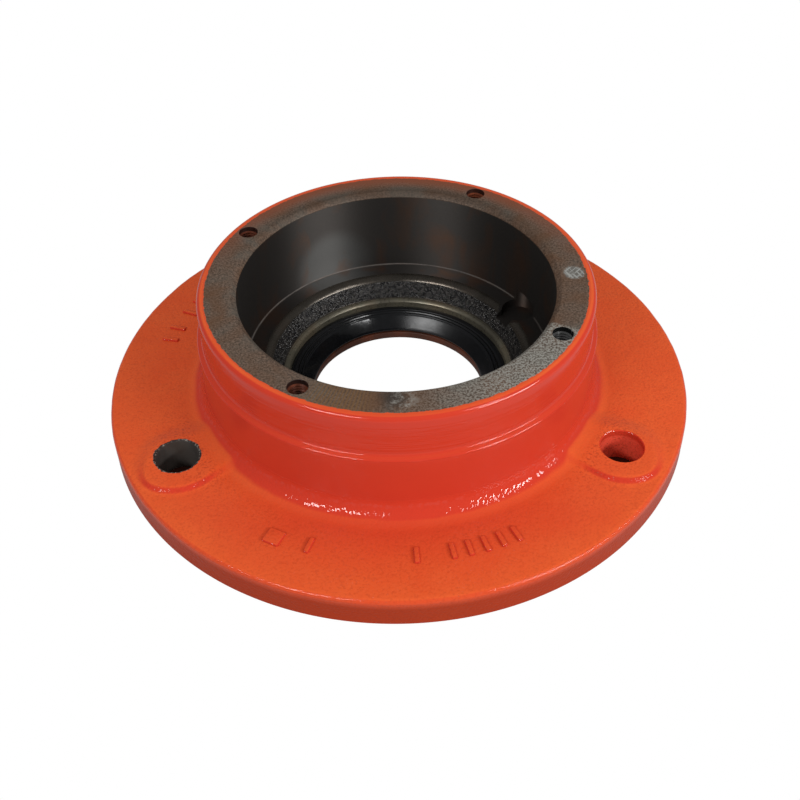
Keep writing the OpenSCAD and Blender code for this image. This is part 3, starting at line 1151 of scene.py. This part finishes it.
def raised_bar(radius, turn, wide, long):
    """Plain soft-edged bar that stands up from the flange, with its length along the radius."""
    thick = 1.5
    lift = 0.05
    bm = bmesh.new()
    bmesh.ops.create_cube(bm, size=1)
    bmesh.ops.scale(bm, vec=(long, wide, thick), verts=bm.verts)
    bmesh.ops.bevel(
        bm,
        geom=bm.edges[:],
        offset=0.6,
        offset_type="OFFSET",
        segments=4,
        profile=0.5,
        affect="EDGES",
        material=-1,
    )
    bmesh.ops.translate(bm, vec=(radius, 0, FLANGE_T + lift), verts=bm.verts)
    bmesh.ops.rotate(bm, matrix=Matrix.Rotation(math.radians(turn), 3, "Z"), verts=bm.verts)
    return bm


def build_marks():
    """Plain raised bars and a square, cast on the flange and painted with it."""
    bars = [raised_bar(SQUARE_CIRCLE_R, SQUARE_TURN, SQUARE_W, SQUARE_W)]
    bars += [raised_bar(FRONT_CIRCLE_R, turn, BAR_W, BAR_L) for turn in FRONT_TURNS]
    bars += [raised_bar(LEFT_CIRCLE_R, turn, BAR_W, BAR_L) for turn in LEFT_TURNS]
    make_piece("pattern_bars", joined(bars), [housing_finishes[PAINT]], "painted_casting")


def build_seal():
    """The lip seal, a moulded ring with ridges on its face."""
    steps = 240
    longest_edge = 2
    bm = turned_ring(SEAL_OUTLINE, steps, lambda r, z: longest_edge)
    make_piece("lip_seal", bm, [seal_rubber()], "seal_rubber", "oil_seal")


def build_spring():
    """The garter spring: fine wire coiled round a ring that lies behind the lip."""
    ring_r = 39.95
    ring_z = 5.75
    coil_r = 0.82
    wire_r = 0.26
    coils = 380
    points = 9
    curve = bpy.data.curves.new("spring_path", "CURVE")
    curve.dimensions = "3D"
    curve.bevel_depth = wire_r
    curve.bevel_resolution = 1
    spline = curve.splines.new("POLY")
    spline.points.add(coils * points - 1)
    spline.use_cyclic_u = True
    for i, point in enumerate(spline.points):
        turn = 360 * i / (coils * points)
        coil = math.tau * i / points
        middle = at_turn(ring_r + coil_r * math.cos(coil), turn, ring_z + coil_r * math.sin(coil))
        point.co = (*middle, 1)
    path = bpy.data.objects.new("spring_path", curve)
    bpy.context.scene.collection.objects.link(path)
    wire = bpy.data.meshes.new_from_object(path.evaluated_get(bpy.context.evaluated_depsgraph_get()))
    bm = bmesh.new()
    bm.from_mesh(wire)
    bpy.data.meshes.remove(wire)
    bpy.data.curves.remove(curve)
    bmesh.ops.remove_doubles(bm, verts=bm.verts, dist=0.0005)
    bmesh.ops.recalc_face_normals(bm, faces=bm.faces)
    make_piece("garter_coil", bm, [spring_wire()], "spring_steel", "garter_spring")


def build_floor():
    """Paper floor, a shade below the foot. The camera sees it white, and the gloss mirrors it only faintly.

    Under the flange it isn't white: there its colour is painted dark and red, as shade and as light
    bounced from the paint above.
    """
    half_width = 5
    drop = 0.2 * MM
    mirrored_share = 0.15
    open_r = 60
    bm = bmesh.new()
    bmesh.ops.create_grid(bm, x_segments=1, y_segments=1, size=half_width)
    bmesh.ops.translate(bm, vec=(0, 0, -drop), verts=bm.verts)
    floor = mesh_object("floor", bm)
    material, tree = new_material("white_floor")
    path = add(tree, "LightPath").outputs
    mirrored = add(
        tree, "Math", {0: path["Is Glossy Ray"], 1: mirrored_share}, operation="MULTIPLY"
    ).outputs[0]
    seen = add(tree, "Math", {0: path["Is Camera Ray"], 1: mirrored}, operation="MAXIMUM").outputs[0]
    shown = add(tree, "Math", {0: seen, 1: path["Is Transmission Ray"]}, operation="MAXIMUM").outputs[0]
    place = add(tree, "TexCoord").outputs["Object"]
    radius = add(tree, "VectorMath", {0: place}, operation="LENGTH").outputs["Value"]
    inside = add(tree, "Math", {0: radius, 1: open_r * MM}, operation="LESS_THAN").outputs[0]
    outside = add(tree, "Math", {0: radius, 1: (FLANGE_R - 1) * MM}, operation="GREATER_THAN").outputs[0]
    open_floor = add(tree, "Math", {0: inside, 1: outside}, operation="MAXIMUM").outputs[0]
    share = add(tree, "Math", {0: shown, 1: open_floor}, operation="MULTIPLY").outputs[0]
    # Under the flange the floor is painted dark red, as shade and bounced light.
    shade = add(
        tree, "Mix", {"Factor": open_floor, 6: linear("#4b291f"), 7: linear("#aaaaaa")}, data_type="RGBA"
    ).outputs[2]
    matt = add(tree, "BsdfDiffuse", {"Color": shade}).outputs[0]
    white = add(tree, "Emission", {"Color": linear("#ffffff"), "Strength": 1}).outputs[0]
    mix = add(tree, "MixShader", {0: share, 1: matt, 2: white}).outputs[0]
    add(tree, "OutputMaterial", {"Surface": mix})
    floor.data.materials.append(material)


def add_panel(name, turn, height, wide, tall, radiance):
    """Light panel that faces the housing from a turn and a height in degrees. Its sizes are in metres."""
    distance = 1.2
    lamp = bpy.data.lights.new(name, "AREA")
    lamp.shape = "RECTANGLE"
    lamp.size = wide
    lamp.size_y = tall
    lamp.energy = radiance * math.pi * wide * tall
    panel = bpy.data.objects.new(name, lamp)
    aim = Vector((0, 0, 30)) * MM
    out = at_turn(math.cos(math.radians(height)), turn, math.sin(math.radians(height)))
    panel.location = aim + out * distance
    panel.rotation_euler = out.to_track_quat("Z", "Y").to_euler()
    bpy.context.scene.collection.objects.link(panel)


def light_studio():
    """Even light from a white room, and three strips in front whose streaks the gloss shows.

    The gloss mirrors the room darker than it lights the housing, as a room with dark corners would be.
    """
    lit, mirrored = 0.53, 0.15
    world = bpy.data.worlds.new("studio")
    world.use_nodes = True
    tree = world.node_tree
    tree.nodes.clear()
    path = add(tree, "LightPath").outputs
    level = add(
        tree, "MapRange", {"Value": path["Is Glossy Ray"], "To Min": lit, "To Max": mirrored}
    ).outputs[0]
    seen = add(tree, "Math", {0: level, 1: path["Is Camera Ray"]}, operation="MAXIMUM").outputs[0]
    shown = add(tree, "Math", {0: seen, 1: path["Is Transmission Ray"]}, operation="MAXIMUM").outputs[0]
    sky = add(tree, "Background", {"Color": linear("#ffffff"), "Strength": shown}).outputs[0]
    add(tree, "OutputWorld", {"Surface": sky})
    bpy.context.scene.world = world
    add_panel("left_strip", turn=-126, height=37, wide=0.56, tall=0.1, radiance=28)
    add_panel("right_strip", turn=-33, height=24, wide=0.68, tall=0.1, radiance=34)
    add_panel("high_panel", turn=-42, height=41, wide=0.36, tall=0.08, radiance=19)


def set_camera():
    """Camera of the photograph: 43 degrees above the floor, in front, with a slight roll."""
    height = math.radians(43.18)
    roll = math.radians(-1.27)
    aim = Vector((0.55, 0, -5)) * MM
    distance = 474.3 * MM
    focal_px = 1055
    photo_px = 800
    look = Vector((0, math.cos(height), -math.sin(height)))
    right = Vector((1, 0, 0))
    up = right.cross(look)
    side = right * math.cos(roll) + up * math.sin(roll)
    top = up * math.cos(roll) - right * math.sin(roll)
    data = bpy.data.cameras.new("camera")
    data.sensor_width = 36
    data.lens = focal_px / photo_px * data.sensor_width
    data.clip_start = 0.01
    camera = bpy.data.objects.new("camera", data)
    turned = Matrix((side, top, -look)).transposed().to_4x4()
    camera.matrix_world = Matrix.Translation(aim - look * distance) @ turned
    bpy.context.scene.collection.objects.link(camera)
    bpy.context.scene.camera = camera


build_casting()
build_threads()
build_marks()
build_seal()
build_spring()
build_floor()
light_studio()
set_camera()
bpy.context.scene.view_settings.view_transform = "Standard"
